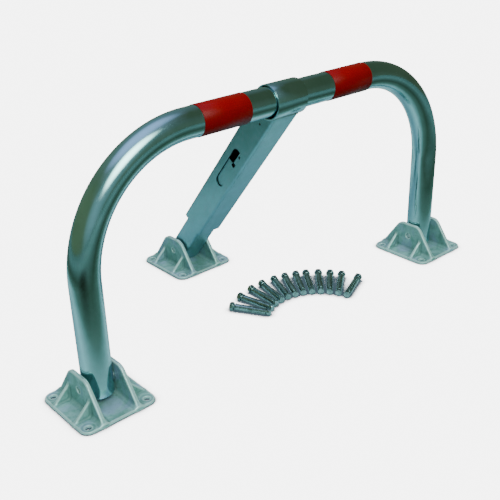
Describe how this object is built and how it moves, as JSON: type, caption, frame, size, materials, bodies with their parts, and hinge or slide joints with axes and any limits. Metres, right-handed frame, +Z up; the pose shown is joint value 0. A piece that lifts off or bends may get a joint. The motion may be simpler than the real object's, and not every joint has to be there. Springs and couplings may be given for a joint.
{
  "type": "folding parking barrier",
  "caption": "Fold-down parking hoop: bent steel tube on hinged cast bases, held up by a telescopic lockable stay, with loose ground anchors.",
  "frame": {"origin": "on the ground, midway along the hoop and midway between the front pivots and the rear pivot", "axes": "+X along the hoop, +Y from the hoop towards the rear base, +Z up"},
  "size_m": [1.12, 0.514, 0.5207],
  "materials": {
    "galvanised_steel": "glossy zinc plating",
    "cast_aluminium": "as cast, matte",
    "red_reflective": "reflective film",
    "pin_steel": "plated steel",
    "anchor_zinc": "dull zinc plating"
  },
  "bodies": {
    "ground_set": {"anchor_bolt_01": "anchor_zinc", "anchor_bolt_02": "anchor_zinc", "anchor_bolt_03": "anchor_zinc", "anchor_bolt_04": "anchor_zinc", "anchor_bolt_05": "anchor_zinc", "anchor_bolt_06": "anchor_zinc", "anchor_bolt_07": "anchor_zinc", "anchor_bolt_08": "anchor_zinc", "anchor_bolt_09": "anchor_zinc", "anchor_bolt_10": "anchor_zinc", "anchor_bolt_11": "anchor_zinc", "anchor_bolt_12": "anchor_zinc", "anchor_sleeve_01": "anchor_zinc", "anchor_sleeve_02": "anchor_zinc", "anchor_sleeve_03": "anchor_zinc", "anchor_sleeve_04": "anchor_zinc", "anchor_sleeve_05": "anchor_zinc", "anchor_sleeve_06": "anchor_zinc", "anchor_sleeve_07": "anchor_zinc", "anchor_sleeve_08": "anchor_zinc", "anchor_sleeve_09": "anchor_zinc", "anchor_sleeve_10": "anchor_zinc", "anchor_sleeve_11": "anchor_zinc", "anchor_sleeve_12": "anchor_zinc", "anchor_washer_01": "anchor_zinc", "anchor_washer_02": "anchor_zinc", "anchor_washer_03": "anchor_zinc", "anchor_washer_04": "anchor_zinc", "anchor_washer_05": "anchor_zinc", "anchor_washer_06": "anchor_zinc", "anchor_washer_07": "anchor_zinc", "anchor_washer_08": "anchor_zinc", "anchor_washer_09": "anchor_zinc", "anchor_washer_10": "anchor_zinc", "anchor_washer_11": "anchor_zinc", "anchor_washer_12": "anchor_zinc", "left_base": "cast_aluminium", "left_pivot_pin": "pin_steel", "rear_base": "cast_aluminium", "rear_pivot_pin": "pin_steel", "right_base": "cast_aluminium", "right_pivot_pin": "pin_steel"},
    "hoop": {"hoop_tube": "galvanised_steel", "left_reflective_band": "red_reflective", "right_reflective_band": "red_reflective", "left_foot_bush": "pin_steel", "right_foot_bush": "pin_steel"},
    "stay_outer": {"outer_stay_tube": "galvanised_steel", "stay_collar": "galvanised_steel", "lock_keeper": "pin_steel"},
    "stay_inner": {"inner_stay_tube": "galvanised_steel", "inner_foot_bush": "pin_steel"}
  },
  "joints": [
    {"name": "hoop_fold", "type": "hinge", "parent": "ground_set", "child": "hoop", "pos_m": [0, -0.177, 0.043], "axis": [1, 0, 0], "range_deg": [0, 89]},
    {"name": "collar_turn", "type": "hinge", "parent": "hoop", "child": "stay_outer", "pos_m": [0, -0.177, 0.487], "axis": [1, 0, 0], "range_deg": [-38, 0]},
    {"name": "stay_foot_turn", "type": "hinge", "parent": "ground_set", "child": "stay_inner", "pos_m": [0, 0.177, 0.043], "axis": [1, 0, 0], "range_deg": [0, 51.3]}
  ],
  "couplings": [
    {"joint": "collar_turn", "follows": "hoop_fold", "ratio": -0.4255},
    {"joint": "stay_foot_turn", "follows": "hoop_fold", "ratio": 0.5745}
  ]
}
